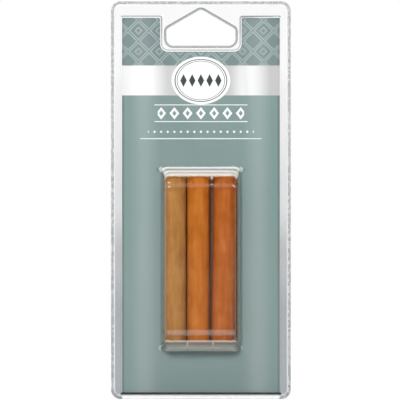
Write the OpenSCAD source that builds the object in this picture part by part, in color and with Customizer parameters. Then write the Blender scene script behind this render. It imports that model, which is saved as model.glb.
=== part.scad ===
// Three wax repair sticks in a clear hanging pack.
// The pack stands upright and its front looks along -Y. Z = 0 is the underside of the hang hole's apex,
// where the pack hangs from a hook, and Y = 0 is the plane in which the two clear sheets are sealed.

/* [Wax sticks] */
// Diameter of a stick
stick_d = 11.8; // [8:0.1:16]
// Length of a stick
stick_l = 88.5; // [60:0.5:110]
// Radius on the edge of a stick's two ends
stick_edge_r = 0.8; // [0.3:0.1:1.5]
// Gap between the left and the middle stick
left_gap = 0.4; // [0.3:0.1:2]
// Gap between the middle and the right stick, at half height
right_gap = 1.6; // [1:0.1:3]
// How far the right stick leans from upright, in degrees
right_lean = 0.75; // [0:0.05:1]
// How far the middle stick stands left of the bubble's centre
stick_shift = 1.4; // [0:0.1:2]

/* [Bubble] */
// Spare width in the bubble beside the three sticks
side_play = 5.2; // [4:0.1:10]
// Spare length in the bubble above and below the sticks
end_play = 9; // [8.5:0.1:16]
// Spare depth in the bubble in front of the sticks
head_room = 3.4; // [2:0.1:6]
// Height of the bubble's lower edge above the pack's lower edge
bubble_lift = 25.3; // [12:0.1:40]
// Draft of the bubble's two side walls, in degrees
side_draft = 10; // [5:0.5:12]
// Draft of the bubble's two end walls, in degrees
end_draft = 15; // [8:0.5:16]
// Outside radius between the bubble's front and its side walls
side_fillet_r = 2.5; // [1.5:0.1:4]
// Outside radius between the bubble's front and its end walls
end_fillet_r = 6; // [3:0.1:7]
// Outside radius where the bubble's walls rise from the card pocket
base_fillet_r = 1.2; // [0.6:0.1:1.6]
// Corner radius of the bubble at its base
base_corner_r = 1; // [0.8:0.1:2.5]
// Corner radius of the bubble at its front
front_corner_r = 3.5; // [2:0.1:5]

/* [Clear sheets] */
// Width of the pack
pack_w = 95; // [85:1:130]
// Height of the pack
pack_h = 210; // [180:1:260]
// Corner radius of the pack
pack_corner_r = 5; // [4:0.5:8]
// Thickness of the formed front sheet
front_sheet_t = 0.4; // [0.25:0.05:0.5]
// Thickness of the flat back sheet
back_sheet_t = 0.3; // [0.2:0.05:0.6]
// Width of the sealed border
seal_w = 2.1; // [1.5:0.1:3]
// How far the front sheet lifts off the back sheet inside the sealed border
land_rise = 0.25; // [0.1:0.05:0.5]

/* [Hang hole] */
// Distance from the pack's top edge to the hole's apex
hang_drop = 4.5; // [3.5:0.1:8]
// Width of the hole
hole_w = 36.4; // [28:0.2:44]
// Height of the hole, from its lower edge to its apex
hole_h = 18.9; // [16:0.1:22]
// Slope of the hole's two roof edges, in degrees
hole_roof = 30; // [20:0.5:32]
// Radius in the hole's apex
hole_apex_r = 2.5; // [1:0.1:4]
// Radius in the hole's two shoulders
hole_shoulder_r = 2; // [1:0.1:3]
// Radius in the hole's two lower corners
hole_corner_r = 3.6; // [1.5:0.1:4]
// Width of the sealed ring round the hole
ring_w = 1.1; // [0.6:0.1:1.5]

/* [Card] */
// Thickness of the card
card_t = 0.4; // [0.2:0.05:0.6]
// Distance from the hang hole's sides to the card's notch
notch_side_land = 3.3; // [2.8:0.1:6]
// Distance from the hang hole's lower edge to the card's notch
notch_foot_land = 3.2; // [2.8:0.1:6]
// Radius in the notch's two lower corners
notch_r = 4; // [2.5:0.1:6]

/* [Card pocket] */
// How far the pocket's edge stands outside the card
pocket_gap = 0.9; // [0.6:0.05:1.2]
// Width of the plain sheet between the sealed border and the pocket's sides
side_land = 2.85; // [1:0.05:5]
// Width of the plain sheet between the sealed border and the pocket's top
top_land = 5.7; // [3:0.1:10]
// Width of the plain sheet between the sealed border and the pocket's foot
foot_land = 0.1; // [0.1:0.1:5]
// How far the pocket rises above the sheet round it
pocket_rise = 0.65; // [0.5:0.05:1.2]
// Radius of the pocket's corners where they pass round the card's corners
pocket_corner_r = 0.3; // [0.1:0.05:0.5]

/* [Hidden] */

// Clearance between a stick and the card behind it, and between a resting stick and the bubble's end wall
stick_clear = 0.3;
seat_clear = 0.1;
// How far a cut runs past the face that it leaves by
overrun = 1;
// Steps in a rounded corner of an outline, in a fillet of the bubble, and round a stick
corner_steps = 6;
base_steps = 4;
front_steps = 9;
stick_steps = 72;

// Heights are measured up from the pack's lower edge, which lies this far below the origin
datum = pack_h - hang_drop;

// Rises in front of the seal plane: the backs of the lifted sheet and of the card pocket
pocket_back = land_rise + pocket_rise;
pocket_front = pocket_back + front_sheet_t;

// Sticks, from left to right
stick_back = card_t + stick_clear;
stick_y = stick_back + stick_d / 2;
amber_x = -stick_shift;
tan_x = amber_x - stick_d - left_gap;
russet_x = amber_x + stick_d + right_gap;

// Bubble, measured at its base on the pocket's front face
bubble_w = 3 * stick_d + left_gap + right_gap + side_play;
bubble_h = stick_l + end_play;
bubble_front = stick_back + stick_d + head_room + front_sheet_t;
bubble_d = bubble_front - pocket_front;
bubble_mid = bubble_lift + bubble_h / 2;

// Outlines in the plane of the pack: x to the right, height up, points counterclockwise
pack_outline = box_points(pack_w, 0, pack_h);
pack_radii = [for (i = [0 : 3]) pack_corner_r];

hole_top = pack_h - hang_drop;
hole_foot = hole_top - hole_h;
hole_peak = hole_top + hole_apex_r * (1 / cos(hole_roof) - 1);
hole_shoulder = hole_peak - hole_w / 2 * tan(hole_roof);
hole_outline = [
    [-hole_w / 2, hole_foot], [hole_w / 2, hole_foot],
    [hole_w / 2, hole_shoulder], [0, hole_peak], [-hole_w / 2, hole_shoulder]
];
hole_radii = [hole_corner_r, hole_corner_r, hole_shoulder_r, hole_apex_r, hole_shoulder_r];

card_w = pack_w - 2 * (seal_w + side_land + pocket_gap);
card_top = pack_h - seal_w - top_land - pocket_gap;
card_foot = seal_w + foot_land + pocket_gap;
notch_w = hole_w + 2 * notch_side_land;
notch_foot = hole_foot - notch_foot_land;
card_outline = [
    [-card_w / 2, card_foot], [card_w / 2, card_foot], [card_w / 2, card_top],
    [notch_w / 2, card_top], [notch_w / 2, notch_foot],
    [-notch_w / 2, notch_foot], [-notch_w / 2, card_top], [-card_w / 2, card_top]
];
card_radii = [0, 0, 0, 0, notch_r, notch_r, 0, 0];
pocket_radii = [for (r = card_radii) max(r, pocket_corner_r)];

// Rectangle of width w between two heights, about x = 0
function box_points(w, low, high) = [[-w / 2, low], [w / 2, low], [w / 2, high], [-w / 2, high]];

function unit(v) = v / norm(v);
function cross_z(a, b) = a[0] * b[1] - a[1] * b[0];

// Directions of the edges that meet at corner i of a counterclockwise outline, and an edge's outward normal
function edge_in(pts, i) = unit(pts[i] - pts[(i + len(pts) - 1) % len(pts)]);
function edge_out(pts, i) = unit(pts[(i + 1) % len(pts)] - pts[i]);
function outward(edge) = [edge[1], -edge[0]];

// Outline with every edge moved outwards by d
function grown(pts, d) = [
    for (i = [0 : len(pts) - 1])
        let (a = outward(edge_in(pts, i)), b = outward(edge_out(pts, i)))
        pts[i] + d * (a + b) / (1 + a * b)
];

// Corner radii of that outline: outer corners grow and inner corners shrink
function grown_radii(pts, radii, d) = [
    for (i = [0 : len(pts) - 1])
        radii[i] == 0 ? 0 : max(0, radii[i] + d * sign(cross_z(edge_in(pts, i), edge_out(pts, i))))
];

// Outline with its corners rounded by arcs
function rounded(pts, radii, steps = corner_steps) = [
    for (i = [0 : len(pts) - 1])
        let (
            a = edge_in(pts, i), b = edge_out(pts, i), r = radii[i],
            side = sign(cross_z(a, b)), turn = acos(a * b),
            centre = pts[i] - a * r * tan(turn / 2) - side * outward(a) * r
        )
        for (k = [0 : r == 0 ? 0 : steps])
            r == 0 ? pts[i] :
            let (s = side * turn * k / steps)
            centre + side * r * [[cos(s), -sin(s)], [sin(s), cos(s)]] * outward(a)
];

// Profile of a formed wall: how far the outline has drawn in at depth d, on a wall of height h with a draft,
// a fillet front_r at its front and a hollow fillet base_r at its base
function flat_inset(h, draft, front_r) =
    front_r * cos(draft) + (h - front_r * (1 - sin(draft))) * tan(draft);
function wall_inset(d, h, draft, front_r, base_r) =
    d < base_r * (1 - sin(draft)) ?
        base_r * (sin(acos(1 - d / base_r)) - tan(45 - draft / 2)) :
    d > h - front_r * (1 - sin(draft)) ?
        flat_inset(h, draft, front_r) - front_r * sin(acos(1 - (h - d) / front_r)) :
        d * tan(draft);

// Depths at which the bubble's wall is cut into rings, closest together where it curves
function ring_depths(h, draft, front_r, base_r) = concat(
    [for (k = [0 : base_steps]) base_r * (1 - cos((90 - draft) * k / base_steps))],
    [for (k = [front_steps : -1 : 0]) h - front_r * (1 - cos((90 - draft) * k / front_steps))]
);

// The inside of a wall follows its outside, offset by t along its normal
function inner_shift(draft, t) = t * (1 - sin(draft)) / cos(draft);

// How far the inside of the end wall has drawn in where a stick's front passes it
stick_depth = stick_back + stick_d - pocket_back;
end_seat = inner_shift(end_draft, front_sheet_t)
    + wall_inset(stick_depth, bubble_d, end_draft, end_fillet_r - front_sheet_t, base_fillet_r + front_sheet_t);
stick_foot = bubble_lift + end_seat + seat_clear;

// Flat layer of the pack: its back face lies y in front of the seal plane
module layer(y, t) {
    translate([0, -y, -datum]) rotate([90, 0, 0]) linear_extrude(t) children();
}

module outline(pts, radii, grow = 0) {
    polygon(rounded(grown(pts, grow), grown_radii(pts, radii, grow)));
}

// Solid of the bubble's outside (t = 0) or of its inside (t = the sheet's thickness). The first ring repeats
// the base outline, behind the face that the bubble rises from
module bubble_form(t, base_y, behind) {
    half_w = bubble_w / 2 - inner_shift(side_draft, t);
    half_h = bubble_h / 2 - inner_shift(end_draft, t);
    end_r = end_fillet_r - t;
    side_r = side_fillet_r - t;
    base_r = base_fillet_r + t;
    depths = ring_depths(bubble_d, end_draft, end_r, base_r);
    ring_size = 4 * (corner_steps + 1);
    rings = [
        for (d = concat([0], depths))
            let (
                w = half_w - wall_inset(d, bubble_d, side_draft, side_r, base_r),
                h = half_h - wall_inset(d, bubble_d, end_draft, end_r, base_r),
                r = base_corner_r - t + (front_corner_r - base_corner_r) * d / bubble_d
            )
            rounded(box_points(2 * w, bubble_mid - h, bubble_mid + h), [r, r, r, r])
    ];
    ys = concat([base_y - behind], [for (d = depths) base_y + d]);
    points = [for (k = [0 : len(rings) - 1]) for (p = rings[k]) [p[0], -ys[k], p[1] - datum]];
    back = [for (i = [0 : ring_size - 1]) i];
    front = [for (i = [ring_size - 1 : -1 : 0]) (len(rings) - 1) * ring_size + i];
    sides = [
        for (k = [0 : len(rings) - 2]) for (i = [0 : ring_size - 1])
            let (a = k * ring_size + i, b = k * ring_size + (i + 1) % ring_size)
            each [[b, a, a + ring_size], [b, a + ring_size, b + ring_size]]
    ];
    polyhedron(points, concat([back, front], sides));
}

// Clear front sheet: sealed border, lifted land, card pocket and bubble, drawn in one sheet
module front_shell() {
    color("lightcyan", 0.35)
    difference() {
        union() {
            layer(0, front_sheet_t) outline(pack_outline, pack_radii);
            layer(0, land_rise + front_sheet_t) difference() {
                outline(pack_outline, pack_radii, -seal_w);
                outline(hole_outline, hole_radii, ring_w);
            }
            layer(0, pocket_front) outline(card_outline, pocket_radii, pocket_gap);
            bubble_form(0, pocket_front, front_sheet_t / 2);
        }
        layer(-overrun, overrun + land_rise) difference() {
            outline(pack_outline, pack_radii, -seal_w - front_sheet_t);
            outline(hole_outline, hole_radii, ring_w + front_sheet_t);
        }
        layer(-overrun, overrun + pocket_back) outline(card_outline, pocket_radii, pocket_gap - front_sheet_t);
        bubble_form(front_sheet_t, pocket_back, pocket_back);
        layer(-overrun, pocket_front + 2 * overrun) outline(hole_outline, hole_radii);
    }
}

// Clear back sheet, flat, with the same hang hole
module back_sheet() {
    color("azure", 0.35)
    layer(-back_sheet_t, back_sheet_t) difference() {
        outline(pack_outline, pack_radii);
        outline(hole_outline, hole_radii);
    }
}

// Card insert, notched round the hang hole, flat against the back sheet
module printed_card() {
    color("#83978f")
    layer(0, card_t) outline(card_outline, card_radii);
}

// One wax stick that stands on its foot at x, and leans about its middle
module wax_stick(x, lean = 0) {
    profile = rounded(
        [[0, 0], [stick_d / 2, 0], [stick_d / 2, stick_l], [0, stick_l]],
        [0, stick_edge_r, stick_edge_r, 0]
    );
    translate([x, -stick_y, stick_foot + stick_l / 2 - datum]) rotate([0, lean, 0])
        translate([0, 0, -stick_l / 2]) rotate_extrude($fn = stick_steps) polygon(profile);
}

module wax_stick_tan() {
    color("#b27e52") wax_stick(tan_x);
}

module wax_stick_amber() {
    color("#bc712c") wax_stick(amber_x);
}

module wax_stick_russet() {
    color("#b76730") wax_stick(russet_x, right_lean);
}

front_shell();
back_sheet();
printed_card();
wax_stick_tan();
wax_stick_amber();
wax_stick_russet();
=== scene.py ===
from math import cos, pi, radians, sin, tan

import bmesh
import bpy
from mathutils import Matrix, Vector, noise


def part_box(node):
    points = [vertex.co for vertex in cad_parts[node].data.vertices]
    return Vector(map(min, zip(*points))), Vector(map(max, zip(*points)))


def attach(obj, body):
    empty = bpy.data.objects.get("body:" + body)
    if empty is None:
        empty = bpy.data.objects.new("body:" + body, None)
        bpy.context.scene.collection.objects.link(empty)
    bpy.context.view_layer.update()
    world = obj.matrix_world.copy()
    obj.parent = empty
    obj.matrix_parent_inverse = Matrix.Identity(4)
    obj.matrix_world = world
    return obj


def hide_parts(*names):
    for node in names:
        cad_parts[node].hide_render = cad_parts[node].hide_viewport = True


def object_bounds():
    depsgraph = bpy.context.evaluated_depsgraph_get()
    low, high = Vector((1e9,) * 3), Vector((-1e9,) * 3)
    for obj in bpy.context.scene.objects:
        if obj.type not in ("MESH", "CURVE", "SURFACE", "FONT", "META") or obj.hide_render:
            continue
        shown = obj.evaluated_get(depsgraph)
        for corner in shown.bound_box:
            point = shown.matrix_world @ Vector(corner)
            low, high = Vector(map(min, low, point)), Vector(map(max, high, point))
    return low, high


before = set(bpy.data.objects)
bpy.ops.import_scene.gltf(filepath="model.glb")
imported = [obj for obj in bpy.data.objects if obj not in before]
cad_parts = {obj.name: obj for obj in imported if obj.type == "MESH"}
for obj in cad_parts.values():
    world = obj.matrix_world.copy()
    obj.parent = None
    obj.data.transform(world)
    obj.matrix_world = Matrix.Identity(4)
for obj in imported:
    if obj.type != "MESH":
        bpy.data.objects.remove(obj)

# Wax repair sticks in a hanging pack: a formed clear sheet with a bubble and a card pocket, a flat clear sheet behind
# it, a printed card and three bare wax sticks. The pack stands upright with its front looking along -Y, and Z = 0 is
# the apex of its hang hole. Lengths are written in millimetres, times MM.
MM = 0.001
cad_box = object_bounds()
bpy.ops.object.select_all(action="DESELECT")


# Camera and studio
# The pack is seen square on, from the height of its middle, with its foot on a pale floor. A soft light stands high
# behind the camera and a little to the left, a second hangs overhead, a third lights the back, and the backdrop behind
# the pack is white.
def linear(colour):
    """Turns an sRGB hex colour to the linear values that Blender mixes."""
    parts = [int(colour[i : i + 2], 16) / 255 for i in (1, 3, 5)]
    return (*[p / 12.92 if p <= 0.04045 else ((p + 0.055) / 1.055) ** 2.4 for p in parts], 1.0)


def add(tree, kind, sockets={}, stops=(), easing="LINEAR", **settings):
    """Adds a node with its settings and links: a socket is given a value, or the node or output that feeds it."""
    made = tree.nodes.new("ShaderNode" + kind)
    for name, value in settings.items():
        setattr(made, name, value)
    for socket, value in sockets.items():
        if isinstance(value, bpy.types.Node):
            value = value.outputs[0]
        if isinstance(value, bpy.types.NodeSocket):
            tree.links.new(value, made.inputs[socket])
        else:
            made.inputs[socket].default_value = value
    if stops:
        ramp = made.color_ramp
        ramp.interpolation = easing
        ramp.elements.remove(ramp.elements[0])
        ramp.elements[0].position, ramp.elements[0].color = stops[0]
        for place, colour in stops[1:]:
            ramp.elements.new(place).color = colour
    return made


def new_material(name):
    """Starts an empty material, and gives it with its node tree."""
    material = bpy.data.materials.new(name)
    material.use_nodes = True
    material.node_tree.nodes.clear()
    return material, material.node_tree


PACK_MIDDLE = Vector((-0.48, 0, -100.4)) * MM
CAMERA_DISTANCE, SENSOR_W, LENS = 750 * MM, 36, 127.8
FLOOR_Z, FLOOR_W = cad_box[0].z, 6000 * MM
# Each light has a name, a place and a width in millimetres, and a power in watts
LIGHTS = (
    ("key_softbox", (-250, -1950, 820), 500, 39.0),
    ("overhead_softbox", (0, -60, 900), 700, 12.0),
    ("back_softbox", (500, 1900, 900), 1500, 26.0),
)
ROOM_SIDE, ROOM_DIM, ROOM_PALE = (-0.4, 0.9, 0.15), 0.03, 0.5

bpy.ops.object.camera_add(location=PACK_MIDDLE - Vector((0, CAMERA_DISTANCE, 0)), rotation=(pi / 2, 0, 0))
camera = bpy.context.object
camera.data.sensor_width = SENSOR_W
camera.data.lens = LENS
bpy.context.scene.camera = camera
bpy.context.scene.view_settings.view_transform = "Standard"

for name, place, width, power in LIGHTS:
    place = Vector(place) * MM
    bpy.ops.object.light_add(type="AREA", location=place)
    lamp = bpy.context.object
    lamp.name = name
    lamp.rotation_euler = (PACK_MIDDLE - place).to_track_quat("-Z", "Y").to_euler()
    lamp.data.size = width * MM
    lamp.data.energy = power
    lamp.visible_glossy = name == "overhead_softbox"

world = bpy.data.worlds.new("studio")
world.use_nodes = True
tree = world.node_tree
tree.nodes.clear()
# The room is dim on the camera's side and paler behind the pack, where the camera and the gloss see a white backdrop
seen = add(tree, "LightPath")
towards = add(tree, "TexCoord").outputs["Generated"]
paler = add(tree, "VectorMath", {0: towards, 1: ROOM_SIDE}, operation="DOT_PRODUCT").outputs["Value"]
level = add(
    tree, "MapRange", {"Value": paler, "From Min": -0.5, "From Max": 0.5, "To Min": ROOM_DIM, "To Max": ROOM_PALE}
)
ahead = add(tree, "SeparateXYZ", {0: towards}).outputs["Y"]
behind = add(tree, "MapRange", {"Value": ahead, "From Min": -0.1, "From Max": 0.2})
mirrored = add(tree, "Math", {0: seen.outputs["Is Glossy Ray"], 1: behind}, operation="MULTIPLY")
white_share = add(tree, "Math", {0: seen.outputs["Is Camera Ray"], 1: mirrored}, operation="MAXIMUM")
fill = add(tree, "Background", {"Color": linear("#f6f8fa"), "Strength": level})
white = add(tree, "Background", {"Color": linear("#ffffff"), "Strength": 1.0})
add(tree, "OutputWorld", {0: add(tree, "MixShader", {0: white_share, 1: fill, 2: white})})
bpy.context.scene.world = world

# The floor looks white, faintly grey where the pack stands, and throws back as little light as a mid grey one
bpy.ops.mesh.primitive_plane_add(size=FLOOR_W, location=(0, 0, FLOOR_Z))
floor = bpy.context.object
floor.name = "floor"
floor_paint, tree = new_material("Matt_studio_floor")
seen = add(tree, "LightPath")
white = add(tree, "Emission", {"Color": linear("#ffffff"), "Strength": 1.0})
paint = add(tree, "BsdfDiffuse", {"Color": linear("#a8a8a6")})
shadowed = add(tree, "BsdfDiffuse", {"Color": linear("#f2f2f2")})
near = add(tree, "VectorMath", {0: add(tree, "TexCoord").outputs["Object"]}, operation="LENGTH").outputs["Value"]
share = add(tree, "MapRange", {"Value": near, "From Min": 0.15, "From Max": 0.6, "To Min": 0.15, "To Max": 0.0})
pale = add(tree, "MixShader", {0: share, 1: white, 2: shadowed})
both = add(tree, "MixShader", {0: seen.outputs["Is Camera Ray"], 1: paint, 2: pale})
add(tree, "OutputMaterial", {0: both})
floor.data.materials.append(floor_paint)


# Flat back sheet
# Clear PET sheet 0.3 mm thick, cut with the pack and sealed to the front sheet all round, so its shape is the packed
# solid's own. It hangs clear at the top and turns a faint grey towards the foot, a painted shade.
TINT_FOOT, TINT_TOP = -205 * MM, -5 * MM
HEAD_ON_MIRROR, EDGE_ON_MIRROR = 0.012, 0.97


def clear_pet(name, tints, edge_tint, roughness, tinted=(0, 60 * MM), middle_tints=((0, "#ffffff"),)):
    """Clear PET: what lies behind shows through, a little darker edge on, and it mirrors more at a glancing angle.

    The tints, from its foot to its top, colour what shows through and the gloss. They lie between two distances from
    its middle, and the middle tints elsewhere. Gives the material, its tree, the place on the piece and the shader."""
    material, tree = new_material(name)
    place = add(tree, "TexCoord").outputs["Object"]
    across, _, height = add(tree, "SeparateXYZ", {0: place}).outputs
    rise = add(tree, "MapRange", {"Value": height, "From Min": TINT_FOOT, "From Max": TINT_TOP})
    side_tint, middle_tint = (
        add(tree, "ValToRGB", {0: rise}, [(at, linear(hue)) for at, hue in stops], "EASE")
        for stops in (tints, middle_tints)
    )
    off_x = add(tree, "Math", {0: across}, operation="ABSOLUTE")
    near, far = tinted
    within = add(tree, "Math", {0: off_x, 1: (near + far) / 2, 2: (far - near) / 2}, operation="COMPARE")
    tint = add(tree, "Mix", {0: within, 6: middle_tint, 7: side_tint}, data_type="RGBA").outputs[2]
    facing = add(tree, "LayerWeight", {"Blend": 0.5}).outputs["Facing"]
    edge = add(
        tree, "ValToRGB", {0: facing}, [(0.3, linear("#ffffff")), (0.7, linear("#f4f6f5")), (1, linear(edge_tint))]
    )
    through = add(tree, "VectorMath", {0: tint, 1: edge}, operation="MULTIPLY")
    fifth = add(tree, "Math", {0: facing, 1: 5.0}, operation="POWER")
    mirror = add(tree, "Math", {0: fifth, 1: EDGE_ON_MIRROR, 2: HEAD_ON_MIRROR}, operation="MULTIPLY_ADD")
    clear = add(tree, "BsdfTransparent", {"Color": through})
    gloss = add(tree, "BsdfAnisotropic", {"Color": tint, "Roughness": roughness})
    sheet = add(tree, "MixShader", {0: mirror, 1: clear, 2: gloss})
    return material, tree, place, sheet


# Smooth and thin: beside the card its see-through colour is grey, fading out towards the top, a painted shade
flat_pet, tree, _, sheet = clear_pet(
    "PET_flat_sheet",
    [
        (0.006, "#f4f4f4"), (0.012, "#ced1d4"), (0.2, "#d0d3d6"), (0.365, "#dcddde"), (0.52, "#f0f1f2"),
        (0.75, "#f9f9f9"), (0.9, "#ffffff"),
    ],
    "#c4cac8",
    0.05,
    (41.7 * MM, 45.6 * MM),
)
add(tree, "OutputMaterial", {0: sheet})
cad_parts["back_sheet"].material_slots[0].material = flat_pet


# Printed card
# Coated board 0.4 mm thick, offset printed in grey green with a silver grey band and a fine pale trellis, and cut with
# a notch round the hang hole. It lies loose in the pocket, a hair off the back sheet, and its cut edges are soft.
# The print is laid out in whole millimetres, on the place divided by MM
CARD_HALF_W = 41.65
CARD_GREEN, PRINT_WHITE, PRINT_INK, FOOT_PAINTED_SHADOW = "#839795", "#f4f5f5", "#3f4746", "#1c2524"
# The green from the middle to the side, and the silver of the band from left to right
GREENS = (
    (0.0, CARD_GREEN), (0.5, CARD_GREEN), (0.73, "#96a6a5"), (0.93, "#829a97"), (0.965, "#829a97"), (0.98, "#71817f"),
    (1.0, "#71817f"),
)
SILVERS = (
    (0.0, "#e2e2e2"), (0.09, "#f0f0f0"), (0.19, "#f0f0f0"), (0.29, "#cccccc"), (0.68, "#c2c2c2"), (0.75, "#e2e2e2"),
    (0.82, "#ececec"), (0.87, "#e1e1e1"), (0.935, "#c2c2c2"), (1.0, "#c4c4c4"),
)
BAND_MIDDLE, BAND_HALF_H, BAND_HALF_W = -37.3, 7.9, 42.0
MEDAL_HALF_W, MEDAL_HALF_H = 15.5, 12.6
# The medallion's white disc and its two thin rings, as shares of its size: middle, half width and colour
MEDAL_RINGS = ((0.5, 0.5, PRINT_WHITE), (0.88, 0.016, PRINT_INK), (0.81, 0.01, PRINT_INK))
# Trellis: its pitch, how far the lines of a pair lie from their middle, the size of the small diamonds, half the width
# of each line, and how strongly its field and its lines are printed
TRELLIS_PITCH, PAIR_OFF, PAIR_HALF_W, SMALL_OFF, SMALL_HALF_W = 11.0, 0.78, 0.16, 1.76, 0.17
TRELLIS_FIELD, FIELD_SHARE, TRELLIS_LINE, LINE_SHARE = "#707b7e", 0.45, "#dde6e5", 0.9
# Rows of lozenges: height, pitch, half width and half height of one, how far the row reaches, and its colour
LOZENGES = (
    (BAND_MIDDLE, 4.6, 1.7, 3.4, 11.2, PRINT_INK),
    (-54.6, 7.0, 2.6, 3.3, 22.8, PRINT_WHITE),
    (-54.6, 7.0, 1.1, 1.5, 22.8, CARD_GREEN),
    (-64.4, 3.5, 0.75, 0.75, 28.0, PRINT_WHITE),
)
# Rules: height, half thickness, how far the rule reaches, and its colour
RULES = (
    (-50.2, 0.22, 24.6, PRINT_WHITE),
    (-59.0, 0.22, 24.6, PRINT_WHITE),
    (-68.0, 0.22, 32.0, PRINT_WHITE),
    # The last rule, along the foot, is painted shadow: the shade of the gap under the card's foot
    (-202.4, 0.4, 42.0, FOOT_PAINTED_SHADOW),
)
# Where the sticks lie before the card, how far from their middle the painted brown shade behind them ends and is full,
# and how strong it is
STICKS_X, STICKS_Z, STICKS_HALF_L = -1.0, -132.4, 44.5
STICK_SHADE_END, STICK_SHADE_FULL, STICK_SHADE_SHARE, STICK_SHADE_COLOUR = 21.0, 17.0, 0.85, "#7a4520"

# Printed board: fine pale print on grey green in front, dull grey fibres behind, and a faint paper grain
coated_board, tree = new_material("Coated_board_offset_printed")
place = add(tree, "TexCoord").outputs["Object"]
mm = add(tree, "VectorMath", {0: place, "Scale": 1 / MM}, operation="SCALE")
x, _, z = add(tree, "SeparateXYZ", {0: mm}).outputs
off_x = add(tree, "Math", {0: x}, operation="ABSOLUTE")

# The green is a little lighter in two soft upright bands and darker along the cut edges
spread = add(tree, "Math", {0: off_x, 1: CARD_HALF_W}, operation="DIVIDE")
printed = add(tree, "ValToRGB", {0: spread}, [(at, linear(hue)) for at, hue in GREENS], "EASE")

# Trellis of paired lines and small diamonds on a greyer field, above the band only
folded_x, folded_z = (add(tree, "Math", {0: axis, 1: TRELLIS_PITCH / 2}, operation="PINGPONG") for axis in (x, z))
diamond = add(tree, "Math", {0: folded_x, 1: folded_z}, operation="ADD")
rim = add(tree, "Math", {0: diamond, 1: TRELLIS_PITCH / 2}, operation="SUBTRACT")
rim = add(tree, "Math", {0: rim}, operation="ABSOLUTE")
pair = add(tree, "Math", {0: rim, 1: PAIR_OFF, 2: PAIR_HALF_W}, operation="COMPARE")
small = add(tree, "Math", {0: diamond, 1: SMALL_OFF, 2: SMALL_HALF_W}, operation="COMPARE")
above = add(tree, "Math", {0: z, 1: BAND_MIDDLE + BAND_HALF_H}, operation="GREATER_THAN")
lines = add(tree, "Math", {0: pair, 1: small}, operation="MAXIMUM")
lines = add(tree, "Math", {0: lines, 1: above}, operation="MULTIPLY")
for drawn, strength, colour in ((above, FIELD_SHARE, TRELLIS_FIELD), (lines, LINE_SHARE, TRELLIS_LINE)):
    mask = add(tree, "Math", {0: drawn, 1: strength}, operation="MULTIPLY")
    printed = add(tree, "Mix", {0: mask, 6: printed, 7: linear(colour)}, data_type="RGBA").outputs[2]

# Silver grey band with a plain oval medallion on it
silver = add(tree, "MapRange", {"Value": x, "From Min": -BAND_HALF_W, "From Max": BAND_HALF_W})
silver = add(tree, "ValToRGB", {0: silver}, [(at, linear(hue)) for at, hue in SILVERS])
band = add(tree, "Math", {0: z, 1: BAND_MIDDLE, 2: BAND_HALF_H}, operation="COMPARE")
printed = add(tree, "Mix", {0: band, 6: printed, 7: silver}, data_type="RGBA").outputs[2]
oval_place, oval_scale = (0, 0, -BAND_MIDDLE / MEDAL_HALF_H), (1 / MEDAL_HALF_W, 0, 1 / MEDAL_HALF_H)
oval = add(tree, "Mapping", {0: mm, "Location": oval_place, "Scale": oval_scale})
oval = add(tree, "VectorMath", {0: oval}, operation="LENGTH").outputs["Value"]
for middle, half_w, colour in MEDAL_RINGS:
    mask = add(tree, "Math", {0: oval, 1: middle, 2: half_w}, operation="COMPARE")
    printed = add(tree, "Mix", {0: mask, 6: printed, 7: linear(colour)}, data_type="RGBA").outputs[2]

# Lozenges: five dark ones in the medallion, and white rows in the open field under the band
for middle_z, pitch, half_w, half_h, reach, colour in LOZENGES:
    along = add(tree, "Math", {0: x, 1: pitch}, operation="DIVIDE")
    nearest = add(tree, "Math", {0: along}, operation="ROUND")
    along = add(tree, "Math", {0: along, 1: nearest}, operation="SUBTRACT")
    along = add(tree, "Math", {0: along}, operation="ABSOLUTE")
    along = add(tree, "Math", {0: along, 1: pitch / half_w}, operation="MULTIPLY")
    up = add(tree, "Math", {0: z, 1: middle_z}, operation="SUBTRACT")
    up = add(tree, "Math", {0: up}, operation="ABSOLUTE")
    up = add(tree, "Math", {0: up, 1: half_h}, operation="DIVIDE")
    lozenge = add(tree, "Math", {0: along, 1: up}, operation="ADD")
    lozenge = add(tree, "Math", {0: lozenge, 1: 1.0}, operation="LESS_THAN")
    within = add(tree, "Math", {0: off_x, 1: reach}, operation="LESS_THAN")
    mask = add(tree, "Math", {0: lozenge, 1: within}, operation="MULTIPLY")
    printed = add(tree, "Mix", {0: mask, 6: printed, 7: linear(colour)}, data_type="RGBA").outputs[2]

# Thin white rules over and under the lozenges, and a dark line along the foot of the card, painted shadow of the gap
# under its foot
for middle_z, half_h, reach, colour in RULES:
    rule = add(tree, "Math", {0: z, 1: middle_z, 2: half_h}, operation="COMPARE")
    within = add(tree, "Math", {0: off_x, 1: reach}, operation="LESS_THAN")
    mask = add(tree, "Math", {0: rule, 1: within}, operation="MULTIPLY")
    printed = add(tree, "Mix", {0: mask, 6: printed, 7: linear(colour)}, data_type="RGBA").outputs[2]

# Painted shade: dark brown over the card behind and beside the sticks, standing in for their shade and the orange
# light bounced between them
off_sticks = add(tree, "Math", {0: x, 1: STICKS_X}, operation="SUBTRACT")
off_sticks = add(tree, "Math", {0: off_sticks}, operation="ABSOLUTE")
stick_shade = add(tree, "MapRange", {"Value": off_sticks, "From Min": STICK_SHADE_END, "From Max": STICK_SHADE_FULL, "To Max": STICK_SHADE_SHARE})
beside = add(tree, "Math", {0: z, 1: STICKS_Z, 2: STICKS_HALF_L}, operation="COMPARE")
stick_shade = add(tree, "Math", {0: stick_shade, 1: beside}, operation="MULTIPLY")
printed = add(tree, "Mix", {0: stick_shade, 6: printed, 7: linear(STICK_SHADE_COLOUR)}, data_type="RGBA").outputs[2]

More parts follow.
